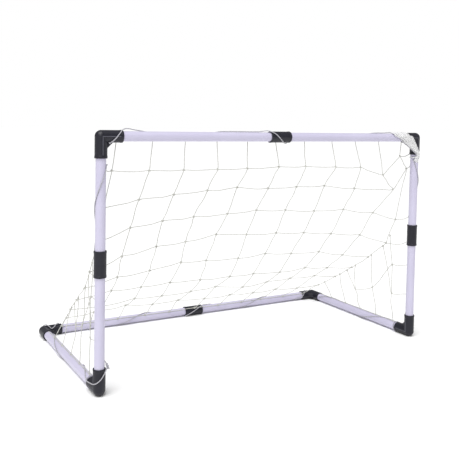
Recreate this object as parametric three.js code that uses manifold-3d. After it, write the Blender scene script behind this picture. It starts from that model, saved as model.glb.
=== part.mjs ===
// A knock-down lawn goal: plastic tubes pushed into moulded elbows and couplers, with a string net
// laced to the frame. Millimetres, +Z up. The mouth faces -Y, the rear bar lies on the ground at +Y,
// and the origin is on the ground under the middle of the goal.

import * as THREE from 'three';
import { mergeVertices } from 'three/addons/utils/BufferGeometryUtils.js';
import Module from 'manifold-3d';

// Overall size
const WIDTH = 915;
const DEPTH = 485;
const HEIGHT = 565;

// Tubes and moulded fittings
const TUBE_R = 11;
const TUBE_BORE_R = 9.7;
const FITTING_R = 13.8;
const SOCKET_R = 11.3;
const SOCKET_DEPTH = 30;
const ELBOW_REACH = 46;          // from the corner of an elbow to the mouth of its socket
const COUPLER_LENGTH = 57;
const COUPLER_WEB = 3;           // stop wall in the middle of a coupler
const GAP = 0.3;                 // clearance between pieces that touch
const FOOT_CUT = 0.4;            // depth of the flat under each fitting that stands on the ground
const GUSSET_LEG = 37;           // web in the inner corner of an elbow, from where its arms' axes cross
const GUSSET_THICKNESS = 8;
const SIDES = 20;                // facets round a tube

// Lacing cord and net
const CORD_R = 1;
const CORD_SIDES = 6;
const LACE_PITCH = 200;
const LACE_STEPS_PER_TURN = 18;
const TIE_R = 14.9;              // a tie loop's middle radius, where it circles a tube beside a fitting
const NET_THICKNESS = 1;

// Places worked out from the sizes above
const X_POST = WIDTH / 2 - FITTING_R;
const Y_REAR = DEPTH / 2 - FITTING_R;
const Y_FRONT = -Y_REAR;
const Z_TOP = HEIGHT - FITTING_R;
const Z_GROUND = FITTING_R - FOOT_CUT;
const Z_MIDDLE = (Z_TOP + Z_GROUND) / 2;
const TUBE_START = ELBOW_REACH - SOCKET_DEPTH + GAP;
const LACE_R = TUBE_R + GAP + CORD_R;
const LACE_OVER_FITTING_R = FITTING_R + 2 * GAP + CORD_R;
const QUARTER = Math.PI / 2;
const NO_COUPLER = Infinity;       // in place of a coupler's position, on a bar that has none

const wasm = await Module();
wasm.setup();

const tubePlastic = new THREE.MeshStandardMaterial({ color: 0xd6d3e3, roughness: 0.38, metalness: 0 });
const fittingPlastic = new THREE.MeshStandardMaterial({ color: 0x1d1d29, roughness: 0.45, metalness: 0 });
const cordFibre = new THREE.MeshStandardMaterial({ color: 0xf2efe6, roughness: 0.85, metalness: 0 });
const netFibre = new THREE.MeshStandardMaterial({ color: 0xf0ede2, roughness: 0.9, metalness: 0 });

const goal = new THREE.Group();

function addPiece(name, geometry, material, position = [0, 0, 0], rotation = [0, 0, 0]) {
  const mesh = new THREE.Mesh(geometry, material.clone());
  mesh.name = name;
  mesh.position.set(...position);
  mesh.rotation.set(...rotation);
  goal.add(mesh);
}

// ---- joining and cutting solids ----

function toSolid(geometry) {
  const bare = geometry.index ? geometry.clone() : geometry;
  bare.deleteAttribute('normal');
  bare.deleteAttribute('uv');
  const merged = mergeVertices(bare, 1e-4);
  return new wasm.Manifold(new wasm.Mesh({
    numProp: 3,
    vertProperties: new Float32Array(merged.attributes.position.array),
    triVerts: new Uint32Array(merged.index.array),
  }));
}

function toGeometry(solid) {
  const mesh = solid.getMesh();
  const geometry = new THREE.BufferGeometry();
  geometry.setAttribute('position', new THREE.BufferAttribute(mesh.vertProperties, 3));
  geometry.setIndex(new THREE.BufferAttribute(mesh.triVerts, 1));
  geometry.computeVertexNormals();
  return geometry;
}

// ---- tubes, couplers and elbows ----

// A hollow tube standing on the origin along +Y.
function tubeGeometry(length) {
  const profile = [[TUBE_BORE_R, 0], [TUBE_R, 0], [TUBE_R, length], [TUBE_BORE_R, length], [TUBE_BORE_R, 0]];
  return new THREE.LatheGeometry(profile.map(([r, y]) => new THREE.Vector2(r, y)), SIDES);
}

// A straight coupler along Y: a socket in each end and a stop wall between them.
function couplerGeometry() {
  const end = COUPLER_LENGTH / 2;
  const web = COUPLER_WEB / 2;
  const profile = [
    [0, -web], [SOCKET_R, -web], [SOCKET_R, -end], [FITTING_R, -end],
    [FITTING_R, end], [SOCKET_R, end], [SOCKET_R, web], [0, web],
  ];
  return new THREE.LatheGeometry(profile.map(([r, y]) => new THREE.Vector2(r, y)), SIDES);
}

// The material ground away to leave a level foot on the side of a fitting that local `axis` points to.
function footCutter(axis) {
  const size = 4 * ELBOW_REACH;
  const block = new THREE.BoxGeometry(size, size, size);
  const reach = FITTING_R - FOOT_CUT + size / 2;
  block.translate(axis[0] * reach, axis[1] * reach, axis[2] * reach);
  return toSolid(block);
}

// A cylinder from `from` to `to` along local X.
function cylinderAlongX(radius, from, to) {
  const cylinder = new THREE.CylinderGeometry(radius, radius, to - from, SIDES);
  cylinder.rotateZ(-QUARTER);
  cylinder.translate((from + to) / 2, 0, 0);
  return cylinder;
}

// A right-angle elbow with its corner at the origin and its sockets opening to +X and +Y.
function elbowGeometry(footAxis) {
  const corner = new THREE.SphereGeometry(FITTING_R, SIDES, SIDES / 2);
  corner.rotateX(QUARTER);
  const web = new THREE.Shape([
    new THREE.Vector2(0, 0), new THREE.Vector2(GUSSET_LEG, 0), new THREE.Vector2(0, GUSSET_LEG),
  ]);
  const gusset = new THREE.ExtrudeGeometry(web, { depth: GUSSET_THICKNESS, bevelEnabled: false });
  gusset.translate(0, 0, -GUSSET_THICKNESS / 2);
  const socketStart = ELBOW_REACH - SOCKET_DEPTH;
  let solid = toSolid(corner)
    .add(toSolid(cylinderAlongX(FITTING_R, 0, ELBOW_REACH)))
    .add(toSolid(cylinderAlongX(FITTING_R, 0, ELBOW_REACH).rotateZ(QUARTER)))
    .add(toSolid(gusset))
    .subtract(toSolid(cylinderAlongX(SOCKET_R, socketStart, ELBOW_REACH + 1)))
    .subtract(toSolid(cylinderAlongX(SOCKET_R, socketStart, ELBOW_REACH + 1).rotateZ(QUARTER)));
  if (footAxis) solid = solid.subtract(footCutter(footAxis));
  return toGeometry(solid);
}

function buildFrame() {
  const halfBar = X_POST - TUBE_START - COUPLER_WEB / 2 - GAP;
  const halfPost = (Z_TOP - Z_GROUND) / 2 - TUBE_START - COUPLER_WEB / 2 - GAP;
  const sideTube = 2 * (Y_REAR - TUBE_START);
  const inner = COUPLER_WEB / 2 + GAP;
  const alongX = [0, 0, -QUARTER];
  const alongZ = [QUARTER, 0, 0];

  for (const [bar, y, z] of [['crossbar', Y_FRONT, Z_TOP], ['rear_bar', Y_REAR, Z_GROUND]]) {
    addPiece(`${bar}_tube_left`, tubeGeometry(halfBar), tubePlastic, [-inner - halfBar, y, z], alongX);
    addPiece(`${bar}_tube_right`, tubeGeometry(halfBar), tubePlastic, [inner, y, z], alongX);
  }
  addPiece('crossbar_coupler', couplerGeometry(), fittingPlastic, [0, Y_FRONT, Z_TOP], alongX);
  const footed = toSolid(couplerGeometry().rotateZ(-QUARTER)).subtract(footCutter([0, 0, -1]));
  addPiece('rear_bar_coupler', toGeometry(footed), fittingPlastic, [0, Y_REAR, Z_GROUND]);

  for (const [side, x] of [['left', -X_POST], ['right', X_POST]]) {
    const upper = [x, Y_FRONT, Z_MIDDLE + inner];
    const lower = [x, Y_FRONT, Z_MIDDLE - inner - halfPost];
    addPiece(`post_upper_${side}`, tubeGeometry(halfPost), tubePlastic, upper, alongZ);
    addPiece(`post_lower_${side}`, tubeGeometry(halfPost), tubePlastic, lower, alongZ);
    addPiece(`post_coupler_${side}`, couplerGeometry(), fittingPlastic, [x, Y_FRONT, Z_MIDDLE], alongZ);
    addPiece(`side_tube_${side}`, tubeGeometry(sideTube), tubePlastic, [x, -sideTube / 2, Z_GROUND]);

    const left = side === 'left';
    const topTurn = [-QUARTER, left ? 0 : Math.PI, 0];
    addPiece(`top_elbow_${side}`, elbowGeometry(), fittingPlastic, [x, Y_FRONT, Z_TOP], topTurn);
    const frontTurn = [0, -QUARTER, 0];
    const front = [x, Y_FRONT, Z_GROUND];
    addPiece(`front_elbow_${side}`, elbowGeometry([-1, 0, 0]), fittingPlastic, front, frontTurn);
    const rearTurn = left ? [Math.PI, 0, 0] : [0, 0, Math.PI];
    const rearFoot = left ? [0, 0, 1] : [0, 0, -1];
    const rear = [x, Y_REAR, Z_GROUND];
    addPiece(`rear_elbow_${side}`, elbowGeometry(rearFoot), fittingPlastic, rear, rearTurn);
  }
}

// ---- lacing cord ----

function cordGeometry(points, steps) {
  const section = new THREE.Shape();
  section.absarc(0, 0, CORD_R, 0, 2 * Math.PI);
  const outline = section.getPoints(CORD_SIDES);
  const ring = new THREE.Shape(outline.slice(0, CORD_SIDES));
  const path = new THREE.CatmullRomCurve3(points, false, 'centripetal');
  return new THREE.ExtrudeGeometry(ring, { steps, bevelEnabled: false, extrudePath: path });
}

// How far from a bar's centre the cord runs: it climbs over a coupler that it meets at `place`.
function laceRadius(place, couplerAt) {
  const ramp = 14;
  const beyond = Math.abs(place - couplerAt) - COUPLER_LENGTH / 2 - ramp / 2;
  const climb = THREE.MathUtils.clamp(1 - beyond / ramp, 0, 1);
  return LACE_R + (LACE_OVER_FITTING_R - LACE_R) * climb * climb * (3 - 2 * climb);
}

// Points of a cord wound round a bar from `from` to `to`; `locate(place, angle, radius)` puts them in space.
function winding(from, to, pitch, angleAt, couplerAt, locate) {
  const turns = Math.abs(to - from) / pitch;
  const count = Math.round(turns * LACE_STEPS_PER_TURN);
  const points = [];
  for (let i = 0; i <= count; i += 1) {
    const place = from + ((to - from) * i) / count;
    points.push(locate(place, angleAt(place), laceRadius(place, couplerAt)));
  }
  return points;
}

function vectors(list) {
  return list.map(([x, y, z]) => new THREE.Vector3(x, y, z));
}

function buildLacing() {
  // Along the crossbar: up over the left elbow's mouth, behind the tube, once round the coupler,
  // behind again, then up and across the right corner.
  const crossbar = ([x, degrees, r = LACE_R]) => {
    const angle = THREE.MathUtils.degToRad(degrees);
    return new THREE.Vector3(x, Y_FRONT - r * Math.cos(angle), Z_TOP + r * Math.sin(angle));
  };
  const onFitting = LACE_OVER_FITTING_R + GAP;
  const alongCrossbar = [
    [-427.5, -63, onFitting], [-423, -43, onFitting], [-416, -11, onFitting], [-409, 20, onFitting],
    [-402, 52, onFitting], [-396, 77, onFitting], [-389, 86, 16.6], [-381, 90, 16.2], [-371, 93, 14.2],
    [-358, 103, 12.7], [-345, 122], [-330, 142], [-315, 150], [-250, 152], [-195, 148], [-178, 133],
    [-162, 110], [-145, 93], [-110, 88], [-75, 88], [-58, 86, 12.6], [-46, 81, 14.4], [-36, 72, onFitting],
    [-27, 52, onFitting], [-18, 26, onFitting], [-9, -4, onFitting], [0, -34, onFitting],
    [9, -64, onFitting], [18, -92, onFitting], [27, -118, onFitting], [36, -140, onFitting],
    [46, -160, 14.4], [58, -180, 12.6], [72, -196], [90, -205], [160, -208], [230, -208], [262, -216],
    [282, -232], [298, -250], [314, -265], [330, -270],
  ].map(crossbar);
  const acrossRight = vectors([
    [353, -231.8, 564.4], [364, -239.2, 559.5], [376, -243.2, 549], [388, -244.6, 537.5],
    [402, -244.6, 529.5], [416, -244.6, 520], [430, -244.6, 510.5], [439, -244.2, 502], [443.6, -241.8, 494],
  ]);
  const crossbarPoints = [...alongCrossbar, ...acrossRight];
  addPiece('lacing_crossbar', cordGeometry(crossbarPoints, 4 * crossbarPoints.length), cordFibre);

  // Down each post: once across its front under the top elbow, then down its back. The left cord comes
  // round the front elbow's face, the right one passes it on the outside.
  const atFoot = {
    left: [
      [120, 165], [102, 178], [88, 200], [77, 230, 13.2], [69, 262, 14.9], [63, 290, onFitting],
      [56, 315, onFitting], [49, 340, onFitting], [41, 363, onFitting], [35, 386, onFitting],
      [31, 409, onFitting], [29, 432, onFitting],
    ],
    right: [
      [150, 148], [120, 135], [95, 118], [80, 106, 13.2], [68, 98, 14.9], [56, 93, onFitting],
      [46, 88, onFitting],
    ],
  };
  const besideFoot = {
    left: [[460, -219, 27], [459.6, -204, 24], [458.5, -188, 22]],
    right: [[459.6, -225, 37], [459.6, -216, 30], [459.6, -204, 25], [458.5, -188, 22]],
  };
  for (const [side, mirror] of [['left', -1], ['right', 1]]) {
    const post = ([z, degrees, r = LACE_R]) => {
      const angle = THREE.MathUtils.degToRad(degrees);
      return new THREE.Vector3(mirror * (X_POST + r * Math.sin(angle)), Y_FRONT - r * Math.cos(angle), z);
    };
    const postPoints = [
      ...[
        [492, -58], [482, -40], [472, -22], [462, -4], [452, 14], [442, 32], [432, 50], [422, 68], [412, 86],
        [402, 104], [392, 120], [380, 134], [366, 144], [345, 150], [330, 151, 13.4], [318, 152, onFitting],
        [282, 154, onFitting], [246, 156, onFitting], [234, 157, 13.4], [220, 158], [185, 158],
      ],
      ...atFoot[side],
    ].map(post);
    postPoints.push(...vectors(besideFoot[side]).map((p) => p.setX(mirror * p.x)));
    addPiece(`lacing_post_${side}`, cordGeometry(postPoints, 4 * postPoints.length), cordFibre);

    const tube = (y, angle, r) => new THREE.Vector3(
      mirror * (X_POST + r * Math.cos(angle)), y, Z_GROUND + r * Math.sin(angle));
    const reach = 172;
    const turns = 1.36;
    const tubeAngle = (y) => 0.52 + (Math.PI * turns * (y + reach)) / reach;
    const back = winding(-reach, reach, (2 * reach) / turns, tubeAngle, NO_COUPLER, tube);
    addPiece(`lacing_side_${side}`, cordGeometry(back, back.length + 2), cordFibre);
  }

  // Over both rear elbows and round the rear bar. Angles are in degrees from the side that faces the mouth.
  const rearBar = (x, angle, r) => new THREE.Vector3(
    x, Y_REAR - r * Math.cos(angle), Z_GROUND + r * Math.sin(angle));
  const rearAngle = (x) => THREE.MathUtils.degToRad(12) + (2 * Math.PI * x) / LACE_PITCH;
  const rearPoint = ([x, degrees, r = onFitting]) => (
    rearBar(x, THREE.MathUtils.degToRad(degrees), r));
  const overLeft = [
    [-446, 165], [-441, 120], [-436, 85], [-431.5, 52], [-427, 30], [-421, 40], [-413, 72], [-405, 110],
    [-399, 145], [-384, 155, 12.9], [-368, 154, LACE_R], [-348, 150, LACE_R],
  ].map(rearPoint);
  const overRight = [
    [392, 358, 14.6], [398, 375], [404, 405], [410, 440], [416, 470], [422, 498], [430, 518], [440, 525],
  ].map(rearPoint);
  const rearPoints = [...overLeft, ...winding(-325, 378, LACE_PITCH, rearAngle, 0, rearBar), ...overRight];
  addPiece('lacing_rear_bar', cordGeometry(rearPoints, rearPoints.length + 8), cordFibre);
}

// Cord loops that tie the net's lower corners to the side tubes, beside the front elbows.
function buildTies() {
  const loopTilt = 0.12;
  for (const [side, x] of [['left', -X_POST], ['right', X_POST]]) {
    const loop = new THREE.TorusGeometry(TIE_R - 2 * CORD_R, CORD_R, CORD_SIDES, SIDES);
    const place = [x, Y_FRONT + ELBOW_REACH + 4 * CORD_R, Z_GROUND + 0.6];
    addPiece(`net_tie_${side}`, loop, cordFibre, place, [QUARTER, 0, x > 0 ? loopTilt : -loopTilt]);
  }
}

// ---- net ----

// The net's two rear edges and its middle line: [out from the centre, back from the mouth, height
// above the ground tubes' centres]. It drops one mesh from the crossbar, then sags to the rear bar.
const NET_EDGE = [
  [404, 0, 519], [418, 4, 466], [430, 46, 330], [436, 90, 238], [427, 160, 180], [420, 286, 103],
  [397, 442, 14],
];
const NET_MIDDLE = [[0, 0, 519], [0, 0, 466], [0, 62, 405], [0, 150, 280], [0, 250, 150], [0, 442, 14]];
const netEdge = new THREE.CatmullRomCurve3(vectors(NET_EDGE), false, 'centripetal');
const netMiddle = new THREE.CatmullRomCurve3(vectors(NET_MIDDLE), false, 'centripetal');

// A thin closed sheet: `place(u, v)` gives its middle surface, and it is thickened along `thicken(u, v)`.
function sheetGeometry(columns, rows, place, thicken) {
  const sheet = new THREE.BoxGeometry(1, NET_THICKNESS, 1, columns, 1, rows);
  const position = sheet.attributes.position;
  for (let i = 0; i < position.count; i += 1) {
    const u = position.getX(i) + 0.5;
    const v = position.getZ(i) + 0.5;
    const point = place(u, v).addScaledVector(thicken(u, v), position.getY(i));
    position.setXYZ(i, point.x, point.y + Y_FRONT, point.z + Z_GROUND);
  }
  // The underside's squares are split along the same diagonal as those above them, so that the sheet
  // keeps its thickness where it is warped.
  const underside = sheet.groups[3];
  for (let i = underside.start; i < underside.start + underside.count; i += 6) {
    const [a, b, d, c] = [0, 1, 2, 4].map((k) => sheet.index.getX(i + k));
    [a, b, c, a, c, d].forEach((corner, k) => sheet.index.setX(i + k, corner));
  }
  return sheet;
}

function buildNet() {
  const edgeGap = 3;
  const backAt = (u, v) => {
    const across = 2 * u - 1;
    const toEdge = Math.abs(across) ** 3;
    const point = netMiddle.getPointAt(v).lerp(netEdge.getPointAt(v), toEdge);
    point.x = across * (netEdge.getPointAt(v).x - edgeGap);
    return point;
  };
  const backNormal = (u, v) => {
    const along = netMiddle.getTangentAt(v);
    return along.cross(new THREE.Vector3(1, 0, 0));
  };
  addPiece('net_back', sheetGeometry(8, 10, backAt, backNormal), netFibre);

  // Each side hangs from the rear edge to the side tube, and is laced to the post.
  const postTop = new THREE.Vector3(X_POST, TUBE_R + 6, 500);
  const postFoot = new THREE.Vector3(X_POST, TUBE_R + 8, 18);
  const hangingDepth = 420;
  for (const [side, mirror] of [['left', -1], ['right', 1]]) {
    const sideAt = (u, v) => {
      const edge = netEdge.getPointAt(0.08 + 0.89 * v);
      edge.y = Math.min(edge.y, hangingDepth) + TUBE_R + 10 * (1 - v);
      edge.z += 6 * v;
      const point = postTop.clone().lerp(postFoot, v).lerp(edge, u);
      point.x = mirror * (X_POST + (edge.x + edgeGap - X_POST) * u ** 3);
      return point;
    };
    const outward = () => new THREE.Vector3(1, 0, 0);
    addPiece(`net_side_${side}`, sheetGeometry(3, 10, sideAt, outward), netFibre);
  }
}

buildFrame();
buildLacing();
buildTies();
buildNet();

export default goal;
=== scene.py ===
"""Looks of the knock-down lawn goal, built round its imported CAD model. Metres, +Z up, mouth towards -Y."""

import math

import bmesh
import bpy
import numpy as np
from mathutils import Matrix, Vector


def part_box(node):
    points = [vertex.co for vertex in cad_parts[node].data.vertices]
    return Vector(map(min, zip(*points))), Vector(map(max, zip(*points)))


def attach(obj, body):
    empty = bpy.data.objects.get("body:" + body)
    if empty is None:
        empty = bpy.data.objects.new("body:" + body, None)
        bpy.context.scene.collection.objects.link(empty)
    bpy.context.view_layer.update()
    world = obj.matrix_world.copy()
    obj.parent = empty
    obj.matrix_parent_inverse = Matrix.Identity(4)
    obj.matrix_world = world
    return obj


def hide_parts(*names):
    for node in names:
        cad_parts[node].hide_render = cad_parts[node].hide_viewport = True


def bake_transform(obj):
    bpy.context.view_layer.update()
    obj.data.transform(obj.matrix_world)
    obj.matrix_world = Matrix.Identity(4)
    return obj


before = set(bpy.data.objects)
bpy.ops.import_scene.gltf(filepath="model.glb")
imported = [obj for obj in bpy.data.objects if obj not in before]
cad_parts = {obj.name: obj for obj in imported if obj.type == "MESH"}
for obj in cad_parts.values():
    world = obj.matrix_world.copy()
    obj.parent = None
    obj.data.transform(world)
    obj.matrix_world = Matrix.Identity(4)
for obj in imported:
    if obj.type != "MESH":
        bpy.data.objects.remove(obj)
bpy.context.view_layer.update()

MM = 0.001
BASE, CROSSBAR, REAR = "base_frame", "crossbar_unit", "rear_bar_unit"
SIDES = ("left", "right")


# ---- sizes, read from the frame ----

def centre_of(node):
    low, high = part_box(node)
    return (low + high) / 2


def size_of(node):
    low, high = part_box(node)
    return high - low


TUBE_R = size_of("crossbar_tube_left").y / 2
FITTING_R = size_of("crossbar_coupler").y / 2
BORE_R = TUBE_R - 1.3 * MM              # the tube's wall is 1.3 mm
SOCKET_R = TUBE_R + 0.3 * MM            # a tube's clearance in its socket is 0.3 mm
X_POST = centre_of("post_lower_right").x
Y_FRONT = centre_of("post_lower_right").y
Y_REAR = centre_of("rear_bar_tube_right").y
Z_TOP = centre_of("crossbar_coupler").z
Z_GROUND = centre_of("side_tube_right").z
Z_MIDDLE = centre_of("post_coupler_right").z
ELBOW_REACH = size_of("top_elbow_left").x - FITTING_R
COUPLER_LENGTH = size_of("crossbar_coupler").x
SOCKET_DEPTH = 30 * MM


# ---- mesh helpers ----

def add_mesh(name, verts, faces, material, uvs=None):
    """A smooth-shaded mesh object; uvs holds one (u, v) pair for each vertex."""
    mesh = bpy.data.meshes.new(name)
    mesh.from_pydata([tuple(v) for v in verts], [], [tuple(f) for f in faces])
    mesh.polygons.foreach_set("use_smooth", [True] * len(mesh.polygons))
    if uvs is not None:
        corner = np.zeros(len(mesh.loops), np.int32)
        mesh.loops.foreach_get("vertex_index", corner)
        layer = mesh.uv_layers.new(name="UVMap")
        layer.data.foreach_set("uv", np.asarray(uvs, np.float32)[corner].ravel())
    mesh.materials.append(material)
    mesh.update()
    obj = bpy.data.objects.new(name, mesh)
    bpy.context.scene.collection.objects.link(obj)
    return obj


class Solid:
    """Vertices, faces and uvs gathered from several closed shapes, and made into one object."""

    def __init__(self):
        self.verts, self.faces, self.uvs = [], [], []

    def add(self, verts, faces, uvs):
        first = len(self.verts)
        self.verts.extend(np.asarray(verts, float))
        self.faces.extend([tuple(i + first for i in f) for f in faces])
        self.uvs.extend(uvs)

    def build(self, name, material):
        return add_mesh(name, self.verts, self.faces, material, self.uvs)


def mm(points, mirror=1):
    """Points given in millimetres, on the right side or mirrored to the left."""
    return [np.array([mirror * x, y, z]) * MM for x, y, z in points]


def axis_frame(direction):
    """Two unit vectors square to direction and to each other."""
    d = np.asarray(direction, float) / np.linalg.norm(direction)
    helper = np.array([0, 0, 1.0]) if abs(d[2]) < 0.9 else np.array([1.0, 0, 0])
    side = np.cross(d, helper)
    side /= np.linalg.norm(side)
    return side, np.cross(side, d)


def lathe(profile, start, direction, sides=64):
    """A profile of (radius, distance) turned about a line; it goes round to its first point."""
    side, up = axis_frame(direction)
    direction = np.asarray(direction, float)
    verts, uvs = [], []
    travelled = 0.0
    for i, (r, d) in enumerate(profile):
        if i:
            travelled += math.hypot(r - profile[i - 1][0], d - profile[i - 1][1])
        for k in range(sides):
            a = 2 * math.pi * k / sides
            out = side * math.cos(a) + up * math.sin(a)
            verts.append(np.asarray(start, float) + direction * d + r * out)
            uvs.append((TUBE_R * a, travelled))
    faces = []
    count = len(profile)
    for i in range(count):
        j = (i + 1) % count
        for k in range(sides):
            m = (k + 1) % sides
            faces.append((i * sides + k, i * sides + m, j * sides + m, j * sides + k))
    return verts, faces, uvs


def supported(profile):
    """The profile with points near the ends of its long stretches, so that smooth shading stays true."""
    near, points = 0.25 * MM, []
    for (r0, d0), (r1, d1) in zip(profile, profile[1:] + profile[:1]):
        points.append((r0, d0))
        length = math.hypot(r1 - r0, d1 - d0)
        if length > 4 * near:
            for share in (near / length, 1 - near / length):
                points.append((r0 + (r1 - r0) * share, d0 + (d1 - d0) * share))
    return points


def smooth_line(points, step):
    """Points a step apart along a centripetal Catmull-Rom curve through the given ones."""
    p = np.asarray(points, float)
    p = np.vstack([2 * p[0] - p[1], p, 2 * p[-1] - p[-2]])
    fine = []
    for i in range(1, len(p) - 2):
        a, b, c, d = p[i - 1:i + 3]
        t0 = 0.0
        t1 = t0 + np.linalg.norm(b - a) ** 0.5
        t2 = t1 + np.linalg.norm(c - b) ** 0.5
        t3 = t2 + np.linalg.norm(d - c) ** 0.5
        t = np.linspace(t1, t2, 25)[:-1, None]
        ab = a + (b - a) * (t - t0) / (t1 - t0)
        bc = b + (c - b) * (t - t1) / (t2 - t1)
        cd = c + (d - c) * (t - t2) / (t3 - t2)
        abc = ab + (bc - ab) * (t - t0) / (t2 - t0)
        bcd = bc + (cd - bc) * (t - t1) / (t3 - t1)
        fine.append(abc + (bcd - abc) * (t - t1) / (t2 - t1))
    fine = np.vstack([*fine, p[-2:-1]])
    return spaced(fine, step)


def spaced(line, step):
    """The same polyline with its points an even step apart."""
    lengths = np.linalg.norm(np.diff(line, axis=0), axis=1)
    along = np.concatenate([[0], np.cumsum(lengths)])
    count = max(2, int(round(along[-1] / step)) + 1)
    at = np.linspace(0, along[-1], count)
    return np.stack([np.interp(at, along, line[:, k]) for k in range(3)], axis=1)


def sweep(line, radius, sides=6, twist_pitch=None, lobes=3, depth=0.0):
    """A round tube along a line with closed ends; a twist pitch gives it lobes, as laid cord has."""
    line = np.asarray(line, float)
    tangents = np.gradient(line, axis=0)
    tangents /= np.linalg.norm(tangents, axis=1)[:, None]
    side, _ = axis_frame(tangents[0])
    along = np.concatenate([[0], np.cumsum(np.linalg.norm(np.diff(line, axis=0), axis=1))])
    angles = 2 * np.pi * np.arange(sides) / sides
    verts, uvs = [], []
    for i, (p, t) in enumerate(zip(line, tangents)):
        side = side - t * (side @ t)
        side /= np.linalg.norm(side)
        up = np.cross(t, side)
        r = np.full(sides, radius)
        if twist_pitch:
            r = r * (1 + depth * np.cos(lobes * (angles - 2 * np.pi * along[i] / twist_pitch)))
        ring = p + r[:, None] * (np.cos(angles)[:, None] * side + np.sin(angles)[:, None] * up)
        verts.extend(ring)
        uvs.extend([(a / (2 * np.pi), along[i]) for a in angles])
    faces = []
    rings = len(line)
    for i in range(rings - 1):
        for k in range(sides):
            m = (k + 1) % sides
            faces.append((i * sides + k, i * sides + m, (i + 1) * sides + m, (i + 1) * sides + k))
    for end, centre in ((0, line[0]), (rings - 1, line[-1])):
        verts.append(centre)
        uvs.append((0.5, along[end]))
        tip = len(verts) - 1
        for k in range(sides):
            m = (k + 1) % sides
            pair = (end * sides + k, end * sides + m)
            faces.append((pair[1], pair[0], tip) if end == 0 else (*pair, tip))
    return verts, faces, uvs


# ---- materials ----

class Nodes:
    """Short names for building one material's node tree."""

    def __init__(self, name):
        self.material = bpy.data.materials.new(name)
        self.material.use_nodes = True
        self.tree = self.material.node_tree
        self.shader = self.tree.nodes["Principled BSDF"]

    def new(self, kind, **values):
        node = self.tree.nodes.new(kind)
        for key, value in values.items():
            if key in node.inputs:
                node.inputs[key].default_value = value
            else:
                setattr(node, key, value)
        return node

    def link(self, output, target):
        self.tree.links.new(output, target)

    def noise(self, source, scale, detail=4.0, rough=0.55, stretch=None):
        if stretch:
            mapping = self.new("ShaderNodeMapping")
            mapping.inputs["Scale"].default_value = stretch
            self.link(source, mapping.inputs["Vector"])
            source = mapping.outputs["Vector"]
        node = self.new("ShaderNodeTexNoise", Scale=scale, Detail=detail, Roughness=rough)
        self.link(source, node.inputs["Vector"])
        return node.outputs["Fac"]

    def ramp(self, fac, stops):
        node = self.new("ShaderNodeValToRGB")
        node.color_ramp.elements[0].position, node.color_ramp.elements[0].color = stops[0]
        node.color_ramp.elements[1].position, node.color_ramp.elements[1].color = stops[-1]
        for position, colour in stops[1:-1]:
            node.color_ramp.elements.new(position).color = colour
        self.link(fac, node.inputs["Fac"])
        return node.outputs["Color"]

    def between(self, fac, low, high):
        node = self.new("ShaderNodeMapRange")
        node.inputs["To Min"].default_value = low
        node.inputs["To Max"].default_value = high
        self.link(fac, node.inputs["Value"])
        return node.outputs["Result"]

    def bump(self, layers):
        """A chain of bumps: (height output, strength, distance in metres)."""
        normal = None
        for height, strength, distance in layers:
            node = self.new("ShaderNodeBump", Strength=strength, Distance=distance)
            self.link(height, node.inputs["Height"])
            if normal:
                self.link(normal, node.inputs["Normal"])
            normal = node.outputs["Normal"]
        self.link(normal, self.shader.inputs["Normal"])


def grey(value):
    return (value, value, value, 1)


def make_tube_plastic():
    n = Nodes("tube_plastic")
    place = n.new("ShaderNodeTexCoord").outputs["Object"]
    along = n.new("ShaderNodeUVMap", uv_map="UVMap").outputs["UV"]
    cloud = n.noise(place, 9)
    n.link(n.ramp(cloud, [(0.3, (0.50, 0.475, 0.615, 1)), (0.7, (0.555, 0.53, 0.67, 1))]),
           n.shader.inputs["Base Color"])
    streaks = n.noise(along, 1.0, 3, 0.6, stretch=(1400, 9, 1))
    n.link(n.between(streaks, 0.24, 0.40), n.shader.inputs["Roughness"])
    n.bump([(streaks, 0.10, 0.0004), (n.noise(place, 900, 2), 0.05, 0.0002)])
    n.shader.inputs["IOR"].default_value = 1.5
    n.shader.inputs["Coat Weight"].default_value = 0.12
    n.shader.inputs["Coat Roughness"].default_value = 0.18
    return n.material


def make_fitting_plastic(name, dark, light):
    n = Nodes(name)
    place = n.new("ShaderNodeTexCoord").outputs["Object"]
    n.link(n.ramp(n.noise(place, 30), [(0.3, dark), (0.75, light)]), n.shader.inputs["Base Color"])
    grain = n.noise(place, 1500, 3)
    n.link(n.between(n.noise(place, 140), 0.34, 0.50), n.shader.inputs["Roughness"])
    n.shader.inputs["Specular IOR Level"].default_value = 0.4
    n.bump([(n.noise(place, 60, 2), 0.12, 0.001), (grain, 0.16, 0.0002)])
    n.shader.inputs["IOR"].default_value = 1.5
    return n.material


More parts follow.
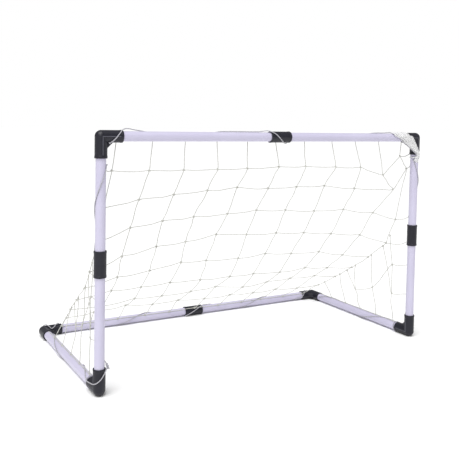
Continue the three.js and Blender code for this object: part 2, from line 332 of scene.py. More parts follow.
def make_fibre(name, dark, light, pitch, rough):
    """Twisted or braided string: diagonal yarns from the tube's own uv, with fuzz; the colour is painted
    shade, dark in the grooves between the yarns and light on their crowns.
    """
    n = Nodes(name)
    uv = n.new("ShaderNodeUVMap", uv_map="UVMap").outputs["UV"]
    place = n.new("ShaderNodeTexCoord").outputs["Object"]
    split = n.new("ShaderNodeSeparateXYZ")
    n.link(uv, split.inputs["Vector"])
    turn = n.new("ShaderNodeMath", operation="MULTIPLY_ADD")
    n.link(split.outputs["Y"], turn.inputs[0])
    turn.inputs[1].default_value = 1 / pitch
    n.link(split.outputs["X"], turn.inputs[2])
    wave = n.new("ShaderNodeMath", operation="MULTIPLY")
    n.link(turn.outputs["Value"], wave.inputs[0])
    wave.inputs[1].default_value = 6 * math.pi
    yarn = n.new("ShaderNodeMath", operation="SINE")
    n.link(wave.outputs["Value"], yarn.inputs[0])
    height = n.new("ShaderNodeMapRange")
    height.inputs["From Min"].default_value = -1
    n.link(yarn.outputs["Value"], height.inputs["Value"])
    fuzz = n.noise(place, 1800, 4, 0.7)
    groove_shade_and_fuzz = n.new("ShaderNodeMath", operation="MULTIPLY")
    n.link(height.outputs["Result"], groove_shade_and_fuzz.inputs[0])
    n.link(fuzz, groove_shade_and_fuzz.inputs[1])
    # painted shade: the colour runs dark in the grooves between the yarns and light on their crowns, broken
    # up by random fuzz
    n.link(n.ramp(groove_shade_and_fuzz.outputs["Value"], [(0.05, dark), (0.5, light)]), n.shader.inputs["Base Color"])
    n.bump([(height.outputs["Result"], 0.5, 0.0004), (fuzz, 0.4, 0.0003)])
    n.shader.inputs["Roughness"].default_value = rough
    n.shader.inputs["Sheen Weight"].default_value = 0.25
    n.shader.inputs["Sheen Roughness"].default_value = 0.5
    return n.material


def make_floor():
    n = Nodes("studio_floor")
    place = n.new("ShaderNodeTexCoord").outputs["Object"]
    colour = n.ramp(n.noise(place, 3), [(0.3, grey(0.94)), (0.7, grey(0.96))])
    n.link(colour, n.shader.inputs["Base Color"])
    n.shader.inputs["Roughness"].default_value = 0.7
    return n.material


tube_plastic = make_tube_plastic()
fitting_plastic = make_fitting_plastic("fitting_plastic",
                                       (0.0045, 0.0045, 0.010, 1), (0.010, 0.010, 0.019, 1))
# A paler copy of the fitting plastic for the elbows' seams: a painted highlight.
seam_highlight_plastic = make_fitting_plastic("seam_highlight_plastic", (0.05, 0.05, 0.065, 1), (0.10, 0.10, 0.125, 1))
# The first colour given to each string is the painted shade in the grooves between its yarns.
lacing_fibre = make_fibre("lacing_cord", (0.17, 0.165, 0.20, 1), (0.68, 0.67, 0.71, 1), 8 * MM, 0.85)
net_fibre = make_fibre("net_string", (0.38, 0.38, 0.355, 1), (0.74, 0.74, 0.68, 1), 6 * MM, 0.9)
# The bunched net is the net's own string painted lighter: a lit copy of net_string.
lit_gathered_fibre = make_fibre("gathered_string_painted_lit", (0.62, 0.62, 0.63, 1), (0.93, 0.93, 0.93, 1), 6 * MM, 0.9)


# ---- camera ----

def make_camera():
    """In front of the goal and to its left, with its eye level a little above the crossbar."""
    data = bpy.data.cameras.new("camera")
    camera = bpy.data.objects.new("camera", data)
    bpy.context.scene.collection.objects.link(camera)
    yaw, pitch, roll = math.radians(-30.8), math.radians(-3.0), math.radians(1.1)
    turned = Matrix.Rotation(yaw, 4, "Z") @ Matrix.Rotation(math.pi / 2 + pitch, 4, "X")
    eye = Matrix.Translation((-0.912, -1.618, 0.591))
    camera.matrix_world = eye @ turned @ Matrix.Rotation(roll, 4, "Z")
    data.sensor_width = 36
    data.lens = 54
    data.shift_x, data.shift_y = -0.043, -0.16
    data.clip_start, data.clip_end = 0.05, 60
    bpy.context.scene.camera = camera


make_camera()


# ---- tubes ----

def build_tube(node, body):
    """An extruded tube with its ends cut square and the cut edges broken."""
    low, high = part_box(node)
    size = high - low
    axis = max(range(3), key=lambda k: size[k])
    direction = np.zeros(3)
    direction[axis] = 1
    start = np.array((low + high) / 2)
    start[axis] = low[axis]
    length = size[axis]
    cut = 0.35 * MM
    profile = [(BORE_R, cut), (BORE_R + cut, 0), (TUBE_R - cut, 0), (TUBE_R, cut)]
    profile += [(TUBE_R, length - cut), (TUBE_R - cut, length)]
    profile += [(BORE_R + cut, length), (BORE_R, length - cut)]
    solid = Solid()
    verts, faces, uvs = lathe(supported(profile), start, direction)
    solid.add(verts, [f[::-1] for f in faces], uvs)
    piece = solid.build(node + "_smooth", tube_plastic)
    finish_piece(piece, body, "tube_plastic", node)


def finish_piece(piece, body, slot, *nodes):
    """Says which body a piece rides on and which CAD nodes it stands for; the slot is not used."""
    outward_normals(piece)
    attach(piece, body)
    if nodes:
        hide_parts(*nodes)


def outward_normals(piece):
    """Turns every face to look out of the solid that it closes."""
    bm = bmesh.new()
    bm.from_mesh(piece.data)
    bmesh.ops.recalc_face_normals(bm, faces=bm.faces)
    bm.to_mesh(piece.data)
    bm.free()
    piece.data.update()


def build_tubes():
    for side in SIDES:
        build_tube(f"crossbar_tube_{side}", CROSSBAR)
        build_tube(f"rear_bar_tube_{side}", REAR)
        for part in ("post_upper", "post_lower", "side_tube"):
            build_tube(f"{part}_{side}", BASE)


# ---- couplers and elbows ----

def arc(radius_at, distance_at, radius, start_angle, end_angle, steps=5):
    """Points of a rounded edge in a lathe's profile."""
    angles = np.linspace(start_angle, end_angle, steps)
    return [(radius_at + radius * math.cos(a), distance_at + radius * math.sin(a)) for a in angles]


def build_coupler(node, body, direction):
    """A sleeve with a thickened lip at each end, a shallow waist line and a socket in each end."""
    half = COUPLER_LENGTH / 2
    lip, edge, step = 4.5 * MM, 0.8 * MM, 0.45 * MM
    web, pinhole = 1.5 * MM, 0.2 * MM
    body_r = FITTING_R - step
    waist_r = body_r - 0.3 * MM
    outer = arc(FITTING_R - edge, -half + edge, edge, -math.pi / 2, 0)
    outer += [(FITTING_R, -half + lip), (body_r, -half + lip + step)]
    outer += [(body_r, -1.2 * MM), (waist_r, -0.5 * MM), (waist_r, 0.5 * MM), (body_r, 1.2 * MM)]
    outer += [(body_r, half - lip - step), (FITTING_R, half - lip)]
    outer += arc(FITTING_R - edge, half - edge, edge, 0, math.pi / 2)
    mouth = 0.5 * MM
    inner = [(SOCKET_R + mouth, half), (SOCKET_R, half - mouth), (SOCKET_R, web), (pinhole, web),
             (pinhole, -web), (SOCKET_R, -web), (SOCKET_R, -half + mouth), (SOCKET_R + mouth, -half)]
    solid = Solid()
    solid.add(*lathe(supported(outer + inner), centre_of(node), direction, 72))
    piece = solid.build(node + "_moulded", fitting_plastic)
    stand_on_floor(piece)
    sharpen(piece)
    finish_piece(piece, body, "fitting_plastic", node)


def stand_on_floor(piece):
    """Flattens what would reach below the floor into the fitting's level foot."""
    for vertex in piece.data.vertices:
        vertex.co.z = max(vertex.co.z, 0.0)


def sharpen(piece):
    """Keeps edges crisp where the surface really turns."""
    crisp = math.radians(35)
    bm = bmesh.new()
    bm.from_mesh(piece.data)
    for edge in bm.edges:
        edge.smooth = len(edge.link_faces) == 2 and edge.calc_face_angle(0) < crisp
    bm.to_mesh(piece.data)
    bm.free()


ELBOW_STEP = 0.5 * MM                   # how far an elbow's arm lies under the lip at its mouth


def elbow_mesh():
    """One moulded elbow at the origin with its sockets opening to +X and +Y, remeshed and eased."""
    raw = Solid()
    body_r = FITTING_R - ELBOW_STEP
    lip, core = 5 * MM, 0.01 * MM
    reach, socket = ELBOW_REACH, ELBOW_REACH - SOCKET_DEPTH
    for direction in ((1, 0, 0), (0, 1, 0)):
        profile = [(core, -2 * MM), (body_r, -2 * MM), (body_r, reach - lip - ELBOW_STEP),
                   (FITTING_R, reach - lip), (FITTING_R, reach), (SOCKET_R, reach), (SOCKET_R, socket),
                   (core, socket)]
        raw.add(*lathe(profile, (0, 0, 0), direction, 96))
    rings = [(body_r * math.sin(a), -body_r * math.cos(a)) for a in np.linspace(0.02, math.pi - 0.02, 40)]
    raw.add(*lathe(rings, (0, 0, 0), (0, 0, 1), 96))
    add_gusset(raw)
    rough = raw.build("elbow_rough", fitting_plastic)
    outward_normals(rough)
    remesh = rough.modifiers.new("remesh", "REMESH")
    remesh.mode = "VOXEL"
    remesh.voxel_size = 0.62 * MM
    remesh.use_smooth_shade = True
    ease = rough.modifiers.new("ease", "SMOOTH")
    ease.factor, ease.iterations = 0.5, 3
    depsgraph = bpy.context.evaluated_depsgraph_get()
    mesh = bpy.data.meshes.new_from_object(rough.evaluated_get(depsgraph))
    bpy.data.objects.remove(rough)
    add_beads(mesh)
    mesh.polygons.foreach_set("use_smooth", [True] * len(mesh.polygons))
    return mesh


def add_beads(mesh):
    """The raised seam along the middle of both broad faces, mitred at the corner and painted pale as a
    highlight.
    """
    mesh.materials.append(seam_highlight_plastic)
    bm = bmesh.new()
    bm.from_mesh(mesh)
    end = ELBOW_REACH - 7 * MM
    for face in (-1, 1):
        z = face * (FITTING_R - ELBOW_STEP)
        line = spaced(np.array([(end, 0, z), (0, 0, z), (0, end, z)]), 0.5 * MM)
        verts, faces, _ = sweep(line, 0.85 * MM, 10)
        made = [bm.verts.new(v) for v in verts]
        for corners in faces:
            bm.faces.new([made[i] for i in corners]).material_index = 1
    bm.to_mesh(mesh)
    bm.free()


def add_gusset(solid):
    """The web that fills the elbow's inner corner."""
    near, far = 11.8 * MM, 25.2 * MM
    half = 6 * MM
    corners = [(near, near), (far, near), (near, far)]
    verts = [(x, y, z) for z in (-half, half) for x, y in corners]
    faces = [(2, 1, 0), (3, 4, 5), (0, 1, 4, 3), (1, 2, 5, 4), (2, 0, 3, 5)]
    solid.add(verts, faces, [(0, 0)] * 6)


def build_fittings():
    build_coupler("crossbar_coupler", CROSSBAR, (1, 0, 0))
    build_coupler("rear_bar_coupler", REAR, (1, 0, 0))
    for side in SIDES:
        build_coupler(f"post_coupler_{side}", BASE, (0, 0, 1))
    master = elbow_mesh()
    turn = Matrix.Rotation
    quarter = math.pi / 2
    top, front, rear = turn(-quarter, 4, "X"), turn(-quarter, 4, "Y"), turn(math.pi, 4, "X")
    other = turn(math.pi, 4, "Z")
    places = {
        "top_elbow_left": (top, Z_TOP, Y_FRONT, CROSSBAR),
        "top_elbow_right": (other @ top, Z_TOP, Y_FRONT, CROSSBAR),
        "front_elbow_left": (front, Z_GROUND, Y_FRONT, BASE),
        "front_elbow_right": (front, Z_GROUND, Y_FRONT, BASE),
        "rear_elbow_left": (rear, Z_GROUND, Y_REAR, REAR),
        "rear_elbow_right": (other, Z_GROUND, Y_REAR, REAR),
    }
    for node, (rotation, z, y, body) in places.items():
        mesh = master.copy()
        x = -X_POST if node.endswith("left") else X_POST
        mesh.transform(Matrix.Translation((x, y, z)) @ rotation)
        mesh.name = node + "_moulded"
        piece = bpy.data.objects.new(node + "_moulded", mesh)
        bpy.context.scene.collection.objects.link(piece)
        stand_on_floor(piece)
        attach(piece, body)
        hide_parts(node)


# ---- net ----

STRING_R = 0.9 * MM
OFF_BAR = STRING_R + 0.25 * MM          # from a bar's surface to the middle of a string that lies on it
NET_COLUMNS = 10
NET_ROWS = 9
SEAM_ROW = 4                            # the row where the net's upper and lower pieces meet
TOP_MESH, MESH = 64.0, 80.0             # height of the top row's meshes and of all others, in millimetres
NET_NORMAL = np.array([0, -0.75, 0.65])
BORDER_SLANT = (-0.72, 0.694)           # where the rear border lies on its bar: towards the mouth, and up
rng = np.random.default_rng(7)


def from_mouth(points):
    """Points given as [out from the centre, back from the mouth, above the ground tubes], in mm."""
    return np.array([[x * MM, Y_FRONT + y * MM, Z_GROUND + z * MM] for x, y, z in points])


class Along:
    """A smooth curve, read by its share of length."""

    def __init__(self, points):
        self.line = smooth_line(points, 2 * MM)
        lengths = np.linalg.norm(np.diff(self.line, axis=0), axis=1)
        self.at = np.concatenate([[0], np.cumsum(lengths)])
        self.length = self.at[-1]

    def __call__(self, share):
        where = share * self.length
        return np.array([np.interp(where, self.at, self.line[:, k]) for k in range(3)])


net_edge = Along(from_mouth([(404, 8, 530), (417, 7, 466), (430, 46, 330), (436, 90, 238), (427, 160, 180),
                             (420, 286, 103), (396, 446, 12)]))
net_middle = Along(from_mouth([(0, 8, 530), (0, 4, 466), (0, 62, 405), (0, 150, 280), (0, 250, 150),
                               (0, 446, 12)]))


def net_back_point(across, down):
    """The back net's surface: across from -1 to 1, down from 0 at the crossbar to 1 at the rear bar."""
    edge, middle = net_edge(down), net_middle(down)
    weight = abs(across) ** 3
    point = middle + (edge - middle) * weight
    point[0] = across * edge[0]
    return point


def row_share(row):
    """How far down the net a row lies, from 0 to 1."""
    total = TOP_MESH + MESH * (NET_ROWS - 1)
    return 0.0 if row == 0 else (TOP_MESH + MESH * (row - 1)) / total


def jitter(size):
    return rng.normal(0, size, 3)


def bar_clearance(x):
    """How far a string's centre lies from a bar's centre at this distance along it."""
    on_coupler = abs(x) < COUPLER_LENGTH / 2 + 2 * MM
    on_elbow = abs(x) > X_POST - ELBOW_REACH - 1 * MM
    return (FITTING_R if on_coupler or on_elbow else TUBE_R) + OFF_BAR


def border_place(r, on_crossbar):
    """The y and z of the net's border where it lies r from its bar's centre."""
    if on_crossbar:
        return Y_FRONT + r, Z_TOP + 1 * MM
    return Y_REAR + BORDER_SLANT[0] * r, Z_GROUND + BORDER_SLANT[1] * r


def make_back_knots():
    """The back net's knots by row and column, with its first and last rows on the bars."""
    knots = {}
    for row in range(NET_ROWS + 1):
        for column in range(NET_COLUMNS + 1):
            point = net_back_point(2 * column / NET_COLUMNS - 1, row_share(row))
            if 0 < row < NET_ROWS and 0 < column < NET_COLUMNS:
                point = point + jitter(3.2 * MM) * (0.6 + 0.1 * row)
            elif row in (0, NET_ROWS):
                point[0] += rng.normal(0, 3 * MM)
                point[1:] = border_place(bar_clearance(point[0]), row == 0)
            knots[row, column] = point
    draw_up(knots)
    return knots


def draw_up(knots):
    """Pulls one mesh at the top right up into a diamond, and eases its neighbours after it."""
    held = {(1, 9): (338, 7, 438), (1, 10): (396, 5, 487), (2, 9): (386, 18, 396), (2, 10): (428, 13, 452)}
    moved = {place: from_mouth([point])[0] - knots[place] for place, point in held.items()}
    shift = {place: moved.get(place, np.zeros(3)) for place in knots}
    for _ in range(40):
        for row in range(1, NET_ROWS):
            for column in range(1, NET_COLUMNS):
                if (row, column) not in held:
                    around = ((row - 1, column), (row + 1, column), (row, column - 1), (row, column + 1))
                    shift[row, column] = sum(shift[place] for place in around) / 4
    for place in knots:
        knots[place] = knots[place] + shift[place]


def string_through(points, sag=0.0, wander=0.0):
    """A string that passes through its knots and hangs a little between them."""
    points = [np.asarray(p, float) for p in points]
    filled = [points[0]]
    for a, b in zip(points, points[1:]):
        drop = sag * np.linalg.norm(b[:2] - a[:2])
        for share in (0.33, 0.67):
            middle = a + (b - a) * share + jitter(wander)
            middle[2] -= drop * 4 * share * (1 - share)
            filled.append(middle)
        filled.append(b)
    return smooth_line(filled, 5 * MM)


def knot_shape(centre, normal, size=2.5 * MM):
    """A small overhand knot, flattened against the net's surface."""
    side, up = axis_frame(normal)
    n = np.asarray(normal, float) / np.linalg.norm(normal)
    t = np.linspace(0, 2 * np.pi, 31)
    x = np.sin(t) + 1.6 * np.sin(2 * t)
    y = np.cos(t) - 1.6 * np.cos(2 * t)
    z = -np.sin(3 * t)
    spin = rng.uniform(0, 2 * np.pi)
    rx, ry = x * np.cos(spin) - y * np.sin(spin), x * np.sin(spin) + y * np.cos(spin)
    scale = size / 2.2
    line = centre + scale * (rx[:, None] * side + ry[:, None] * up + 0.55 * z[:, None] * n)
    return sweep(line, STRING_R * 0.95, 6)


def build_net():
    """The back net in two pieces, an upper one hung from the crossbar and a lower one that reaches the rear
    bar, and both side nets.
    """
    knots = make_back_knots()
    upper, lower = Solid(), Solid()
    for column in range(NET_COLUMNS + 1):
        whole = string_through([knots[row, column] for row in range(NET_ROWS + 1)], 0.012, 0.8 * MM)
        seam = int(np.argmin(np.linalg.norm(whole - knots[SEAM_ROW, column], axis=1)))
        upper.add(*sweep(whole[:seam + 1], STRING_R))
        lower.add(*sweep(whole[seam:], STRING_R))
    for row in range(NET_ROWS + 1):
        loose = 0.0 if row in (0, NET_ROWS) else 0.02
        line = string_through([knots[row, c] for c in range(NET_COLUMNS + 1)], loose, 0.6 * MM)
        if row in (0, NET_ROWS):
            hold_on_bar(line, row == 0)
        (upper if row < SEAM_ROW else lower).add(*sweep(line, STRING_R))
    for (row, _), place in knots.items():
        (upper if row < SEAM_ROW else lower).add(*knot_shape(place, NET_NORMAL))
    finish_net(upper.build("net_back_upper", net_fibre), "net_back")
    finish_net(lower.build("net_back_lower", net_fibre), "net_back")
    for side, mirror in zip(SIDES, (-1, 1)):
        build_side_net(side, mirror, knots)


def hold_on_bar(line, on_crossbar):
    """The net's border lies against its bar, and goes over the fittings that it meets."""
    for point in line:
        r = max(bar_clearance(point[0] + d) for d in (-3 * MM, 0, 3 * MM))
        point[1:] = border_place(r, on_crossbar)


def finish_net(piece, node):
    """Turns a piece of net's faces outward, fixes it in world space and hides the CAD node that it stands
    for.
    """
    outward_normals(piece)
    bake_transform(piece)
    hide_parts(node)


def behind_post(z):
    """How far behind a post's centre a string lies at this height, where it is laced to the post."""
    low_elbow, high_elbow = Z_GROUND + ELBOW_REACH, Z_TOP - ELBOW_REACH
    on_coupler = abs(z - Z_MIDDLE) < COUPLER_LENGTH / 2 + 3 * MM
    on_elbow = z < low_elbow + 3 * MM or z > high_elbow - 3 * MM
    return (FITTING_R if on_coupler or on_elbow else TUBE_R) + OFF_BAR


def build_side_net(side, mirror, back_knots):
    """Rows run forward from the back net's edge to the post; hangers drop from the edge to the side tube."""
    column = 0 if mirror < 0 else NET_COLUMNS
    edge = Along([back_knots[row, column] for row in range(NET_ROWS + 1)])
    xs, ys, zs = np.abs(edge.line[:, 0]), edge.line[:, 1], edge.line[:, 2]
    falling = np.minimum.accumulate(zs)
    tube_z = Z_GROUND + TUBE_R + OFF_BAR
    post_x = X_POST - 1 * MM

    def edge_at(z):
        return np.interp(-z, -falling, xs), np.interp(-z, -falling, ys)

    def surface(y, z):
        """Where the side net hangs at this distance back and height."""
        edge_x, edge_y = edge_at(z)
        front = Y_FRONT + behind_post(z)
        share = np.clip((y - front) / max(edge_y - front, 1 * MM), 0, 1)
        return np.array([mirror * (post_x - (post_x - edge_x) * share ** 1.6), y, z])

    hanger_ys = Y_FRONT + np.array([78, 148, 214, 282, 348]) * MM
    grid = {}
    for k, y in enumerate(hanger_ys):
        top_z = float(np.interp(y, ys, zs))
        count = max(1, int(round((top_z - tube_z) / (74 * MM))))
        for step in range(1, count):
            z = top_z + (tube_z - top_z) * step / count
            drift = (7 * step - 4 * k) * MM
            grid[k, step] = surface(y - drift * 0.4 + rng.normal(0, 4 * MM), z + rng.normal(0, 4 * MM))
    upper, lower = Solid(), Solid()
    for k, y in enumerate(hanger_ys):
        top = np.array([mirror * np.interp(y, ys, xs), y, np.interp(y, ys, zs)])
        foot = np.array([mirror * X_POST, y - (14 - 4 * k) * MM, tube_z])
        inside = [grid[k, step] for step in range(1, 9) if (k, step) in grid]
        lower.add(*sweep(string_through([top, *inside, foot], 0.0, 1.4 * MM), STRING_R))
        lower.add(*knot_shape(top, (mirror, 0, 0)))
        lower.add(*knot_shape(foot, (0, 0, 1)))
    for step in range(1, 6):
        across = [grid[k, step] for k in range(len(hanger_ys)) if (k, step) in grid]
        if not across:
            continue
        z = across[0][2] + 10 * MM
        start = np.array([mirror * post_x, Y_FRONT + behind_post(z), z])
        last_y = across[-1][1] + 34 * MM
        end = np.array([mirror * np.interp(last_y, ys, xs), last_y, np.interp(last_y, ys, zs)])
        lower.add(*sweep(string_through([start, *across, end], 0.04, 1.2 * MM), STRING_R))
        lower.add(*knot_shape(end, (mirror, 0, 0)))
    for place in grid.values():
        lower.add(*knot_shape(place, (mirror, 0, 0)))
    for row in range(1, SEAM_ROW + 1):
        end = back_knots[row, column]
        z = end[2] + (4 + 3 * row) * MM
        start = np.array([mirror * post_x, Y_FRONT + behind_post(z), z])
        target = upper if row < SEAM_ROW else lower
        target.add(*sweep(string_through([start, end], 0.08, 0.8 * MM), STRING_R))
        target.add(*knot_shape(start, (mirror, 0, 0)))
    post_zs = np.arange(Z_TOP - 30 * MM, 34 * MM, -5 * MM)
    post_edge = np.array([[mirror * post_x, Y_FRONT + behind_post(z), z] for z in post_zs])
    lower.add(*sweep(post_edge, STRING_R))
    tube_ys = np.arange(Y_FRONT + ELBOW_REACH + 8 * MM, Y_REAR - ELBOW_REACH - 2 * MM, 5 * MM)
    lower.add(*sweep(np.array([[mirror * X_POST, y, tube_z] for y in tube_ys]), STRING_R))
    node = f"net_side_{side}"
    finish_net(upper.build(f"net_side_upper_{side}", net_fibre), node)
    finish_net(lower.build(f"net_side_lower_{side}", net_fibre), node)


def build_gathered_corner():
    """At the top right the spare net is bunched over the elbow's arm and tied down to the post."""
    bunch = Solid()
    strands = 22
    below = [(360, 0, 560), (376, 0, 550), (391, 0, 539), (412, 0, 526), (438, 0, 508)]
    above = [(410, 0, 563), (419, 0, 556), (428, 0, 543), (438, 0, 526), (446, 0, 508)]
    lower, higher = smooth_line(mm(below), 1 * MM), smooth_line(mm(above), 1 * MM)
    for k in range(strands):
        share = k / (strands - 1)
        proud = (1.0 + 2.6 * math.sin(math.pi * share) + rng.uniform(0, 1.4)) * MM
        line = []
        for t in (0.0, 0.2, 0.4, 0.6, 0.8, 1.0):
            a, b = (path[int(t * (len(path) - 1))] for path in (lower, higher))
            point = a + (b - a) * share
            point[0] += rng.normal(0, 0.8 * MM)
            point[1] = Y_FRONT - FITTING_R - proud
            line.append(point)
        top_x = line[0][0]
        over = [(top_x - 9 * MM, Y_FRONT + 1 * MM, Z_TOP + FITTING_R + 0.8 * MM),
                (top_x - 4 * MM, Y_FRONT - 10 * MM, Z_TOP + 11.5 * MM)]
        line[0][2] = min(line[0][2], Z_TOP + 5 * MM)
        foot = line[-1][0]
        under = [(foot, Y_FRONT - TUBE_R - 1.2 * MM - 0.6 * proud, Z_TOP - 55 * MM),
                 (foot - 5 * MM * (1 - share), Y_FRONT - 10.5 * MM, Z_TOP - (63 + 6 * share) * MM)]
        bunch.add(*sweep(smooth_line([*over, *line, *under], 2 * MM), STRING_R))
    for drop in (52.5, 54.6):
        t = np.linspace(0, 2 * np.pi, 60)
        r = TUBE_R + 1.3 * MM + 3.4 * MM * np.clip(-np.sin(t + 0.2), 0, 1) ** 2
        wobble = Z_TOP - drop * MM + 0.9 * MM * np.sin(t + drop)
        ring = np.stack([X_POST + r * np.cos(t), Y_FRONT + r * np.sin(t), wobble], axis=1)
        bunch.add(*sweep(ring, STRING_R))
    # the bunch is drawn in the lighter, painted-lit copy of the net string
    piece = bunch.build("net_gathered_corner", lit_gathered_fibre)
    outward_normals(piece)
    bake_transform(piece)


# ---- lacing cord ----

# Routes are in millimetres along a bar, degrees round it, and metres from its centre.
CORD_R = 1.05 * MM
CORD_LAY = {"twist_pitch": 8 * MM, "depth": 0.15}
LACE_R = TUBE_R + 1.3 * MM
ON_FITTING = 15.6 * MM


def round_crossbar(x, degrees, r=LACE_R):
    angle = math.radians(degrees)
    return np.array([x * MM, Y_FRONT - r * math.cos(angle), Z_TOP + r * math.sin(angle)])


def round_rear_bar(x, degrees, r=LACE_R):
    angle = math.radians(degrees)
    return np.array([x * MM, Y_REAR - r * math.cos(angle), Z_GROUND + r * math.sin(angle)])


def cord_piece(name, points, nodes, body, blend=None):
    """A laid cord of three strands along the points, with a small knot at each end."""
    line = smooth_line(points, 1.2 * MM)
    line[:, 2] = np.maximum(line[:, 2], 1.17 * CORD_R)
    solid = Solid()
    solid.add(*sweep(line, CORD_R, 12, **CORD_LAY))
    for end, towards in ((line[0], line[4]), (line[-1], line[-5])):
        solid.add(*knot_shape(end, end - towards, 1.5 * MM))
    piece = solid.build(name, lacing_fibre)
    outward_normals(piece)
    if blend:
        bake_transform(piece)
    else:
        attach(piece, body)
    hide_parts(*nodes)


def build_crossbar_cord():
    """Over the left elbow's mouth, behind the tube, round the coupler, and over the right corner."""
    on = ON_FITTING
    route = [
        (-427.5, -63, on), (-423, -43, on), (-416, -11, on), (-409, 20, on), (-402, 52, on),
        (-396, 77, on), (-389, 86, 0.0166), (-381, 90, 0.0162), (-371, 93, 0.0142), (-358, 103, 0.0127),
        (-345, 122), (-330, 142), (-315, 150), (-250, 152), (-195, 148), (-178, 133), (-162, 110),
        (-145, 93), (-110, 88), (-75, 88), (-58, 86, 0.0126), (-46, 81, 0.0144), (-36, 72, on),
        (-27, 52, on), (-18, 26, on), (-9, -4, on),
        (0, -34, on), (9, -64, on), (18, -92, on), (27, -118, on), (36, -140, on), (46, -160, 0.0144),
        (58, -180, 0.0126), (72, -196), (90, -205), (160, -208), (230, -208), (262, -216), (282, -232),
        (298, -250), (314, -265), (330, -270),
    ]
    points = [round_crossbar(*step) for step in route]
    points += mm([(353, -231.8, 564.4), (364, -239.2, 559.5), (376, -243.2, 549), (388, -244.4, 537.5),
                  (402, -244.4, 529.5), (416, -244.4, 520), (430, -244.4, 510.5), (439, -243.8, 502),
                  (443.6, -241.4, 494)])
    corner = ((0, 0, Z_TOP - 56 * MM), (0, 0, Z_TOP - 20 * MM))
    cord_piece("lacing_cord_crossbar", points, ["lacing_crossbar"], CROSSBAR, corner)


def build_post_cords():
    """Down each post and back round its side tube; the left cord comes round the foot's front."""
    on = ON_FITTING
    at_foot = {
        "left": [(120, 165), (102, 178), (88, 200), (77, 230, 0.0132), (69, 262, 0.0149), (63, 290, on),
                 (56, 315, on), (49, 340, on), (41, 363, on), (35, 386, on), (31, 409, on), (29, 432, on)],
        "right": [(150, 148), (120, 135), (95, 118), (80, 106, 0.0132), (68, 98, 0.0149), (56, 93, on),
                  (46, 88, on)],
    }
    beside_foot = {
        "left": [(460, -219, 27), (459.6, -204, 24), (458.5, -188, 22)],
        "right": [(459.6, -225, 37), (459.6, -216, 30), (459.6, -204, 25), (458.5, -188, 22)],
    }
    along_post = [
        (492, -58), (482, -40), (472, -22), (462, -4), (452, 14), (442, 32), (432, 50), (422, 68),
        (412, 86), (402, 104), (392, 120), (380, 134), (366, 144), (345, 150), (330, 151, 0.0134),
        (318, 152, on), (282, 154, on), (246, 156, on), (234, 157, 0.0134), (220, 158), (185, 158),
    ]
    reach, turns = 172, 1.36
    for side, mirror in zip(SIDES, (-1, 1)):
        points = []
        for z, degrees, *r in along_post + at_foot[side]:
            angle, radius = math.radians(degrees), r[0] if r else LACE_R
            x, y = X_POST + radius * math.sin(angle), Y_FRONT - radius * math.cos(angle)
            points.append(np.array([mirror * x, y, z * MM]))
        points += mm(beside_foot[side], mirror)
        for y in np.linspace(-reach, reach, 34):
            angle = 0.52 + math.pi * turns * (y + reach) / reach
            x, z = X_POST + LACE_R * math.cos(angle), Z_GROUND + LACE_R * math.sin(angle)
            points.append(np.array([mirror * x, y * MM, z]))
        cord_piece(f"lacing_cord_{side}", points, [f"lacing_post_{side}", f"lacing_side_{side}"], BASE)


def build_foot_bow():
    """The double loop that the left cord is tied in beside the front elbow, on the mouth's side."""
    bow = Solid()
    middle = np.array([-X_POST + ON_FITTING + 0.6 * MM, Y_FRONT - 4 * MM, 61 * MM])
    for side, tilt in ((1, 0.5), (-1, -0.25)):
        t = np.linspace(0, 2 * np.pi, 40)
        reach = 8.5 * MM * np.sin(t / 2)
        spread = 3.4 * MM * np.sin(t)
        y = middle[1] + side * reach * math.cos(tilt) - spread * math.sin(tilt)
        z = middle[2] + side * reach * math.sin(tilt) + spread * math.cos(tilt)
        x = middle[0] + 1.2 * MM * np.sin(t) ** 2 + side * 0.7 * MM * np.cos(t / 2)
        bow.add(*sweep(np.stack([x, y, z], axis=1), CORD_R * 0.9, 10, **CORD_LAY))
    bow.add(*knot_shape(middle, (1, 0, 0), 3.2 * MM))
    finish_piece(bow.build("lacing_bow_left", lacing_fibre), BASE, "lacing_cord")


def build_rear_cord():
    """Over both rear elbows, and wound round the rear bar and its coupler between them."""
    on = ON_FITTING
    over_left = [(-446, 165, on), (-441, 120, on), (-436, 85, on), (-431.5, 52, on), (-427, 30, on),
                 (-421, 40, on), (-413, 72, on), (-405, 110, on), (-399, 145, on), (-384, 155, 0.0129),
                 (-368, 154), (-348, 150)]
    over_right = [(392, 358, 0.0146), (398, 375, on), (404, 405, on), (410, 440, on), (416, 470, on),
                  (422, 498, on), (430, 518, on), (440, 525, on)]
    wound = []
    for x in np.linspace(-325, 378, 66):
        climb = min(max(1 - (abs(x) - COUPLER_LENGTH / MM / 2 - 6) / 12, 0), 1)
        r = LACE_R + (ON_FITTING - LACE_R) * climb * climb * (3 - 2 * climb)
        wound.append((x, 12 + 1.8 * x, r))
    points = [round_rear_bar(*step) for step in over_left + wound + over_right]
    cord_piece("lacing_cord_rear", points, ["lacing_rear_bar"], REAR)


def build_ties():
    """Loops of cord beside the front elbows, which hold the net's lower corners."""
    for side in SIDES:
        node = f"net_tie_{side}"
        middle = centre_of(node)
        t = np.linspace(0, 2 * np.pi, 90)
        r = size_of(node).z / 2 - CORD_R - 0.2 * MM
        slant = np.sin(t) * 2.2 * MM
        line = np.stack([middle.x + r * np.cos(t), middle.y + slant, middle.z + r * np.sin(t)], axis=1)
        solid = Solid()
        solid.add(*sweep(line, CORD_R, 12, twist_pitch=9 * MM, depth=0.13))
        piece = solid.build(f"net_tie_cord_{side}", lacing_fibre)
        finish_piece(piece, BASE, "lacing_cord", node)


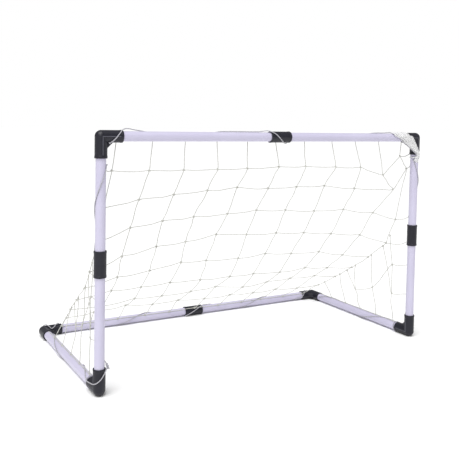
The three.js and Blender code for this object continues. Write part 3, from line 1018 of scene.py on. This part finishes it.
# ---- studio ----

def add_light(name, place, size, power):
    """A square soft light of this size, aimed at the goal's middle."""
    data = bpy.data.lights.new(name, "AREA")
    data.size = size
    data.energy = power
    light = bpy.data.objects.new(name, data)
    light.location = place
    light.rotation_euler = (Vector((0, 0, 0.25)) - Vector(place)).to_track_quat("-Z", "Y").to_euler()
    bpy.context.scene.collection.objects.link(light)


def build_studio():
    """A pale floor, a white backdrop, soft light from all round and three lamps."""
    half = 30.0
    corners = [(-half, -half, 0), (half, -half, 0), (half, half, 0), (-half, half, 0)]
    floor = add_mesh("floor", corners, [(0, 1, 2, 3)], make_floor())
    world = bpy.data.worlds.new("studio")
    world.use_nodes = True
    nodes, links = world.node_tree.nodes, world.node_tree.links
    backdrop, surroundings = nodes["Background"], nodes.new("ShaderNodeBackground")
    backdrop.inputs["Color"].default_value = (1.0, 1.0, 1.0, 1)
    surroundings.inputs["Color"].default_value = (1.0, 1.0, 1.0, 1)
    surroundings.inputs["Strength"].default_value = 0.40
    seen = nodes.new("ShaderNodeLightPath")
    mix = nodes.new("ShaderNodeMixShader")
    links.new(seen.outputs["Is Camera Ray"], mix.inputs["Fac"])
    links.new(surroundings.outputs["Background"], mix.inputs[1])
    links.new(backdrop.outputs["Background"], mix.inputs[2])
    links.new(mix.outputs["Shader"], nodes["World Output"].inputs["Surface"])
    bpy.context.scene.world = world
    bpy.context.scene.view_settings.view_transform = "Standard"
    sun = bpy.data.lights.new("overhead", "SUN")
    sun.energy = 2.75
    sun.angle = math.radians(50)
    lamp = bpy.data.objects.new("overhead", sun)
    lamp.rotation_euler = Vector((0.35, 0.3, -1.0)).to_track_quat("-Z", "Y").to_euler()
    bpy.context.scene.collection.objects.link(lamp)
    add_light("key", (-2.2, -2.4, 2.4), 1.6, 24)
    add_light("fill", (2.6, -1.6, 1.8), 2.0, 5)


build_tubes()
build_fittings()
build_net()
build_gathered_corner()
build_crossbar_cord()
build_post_cords()
build_foot_bow()
build_rear_cord()
build_ties()
build_studio()
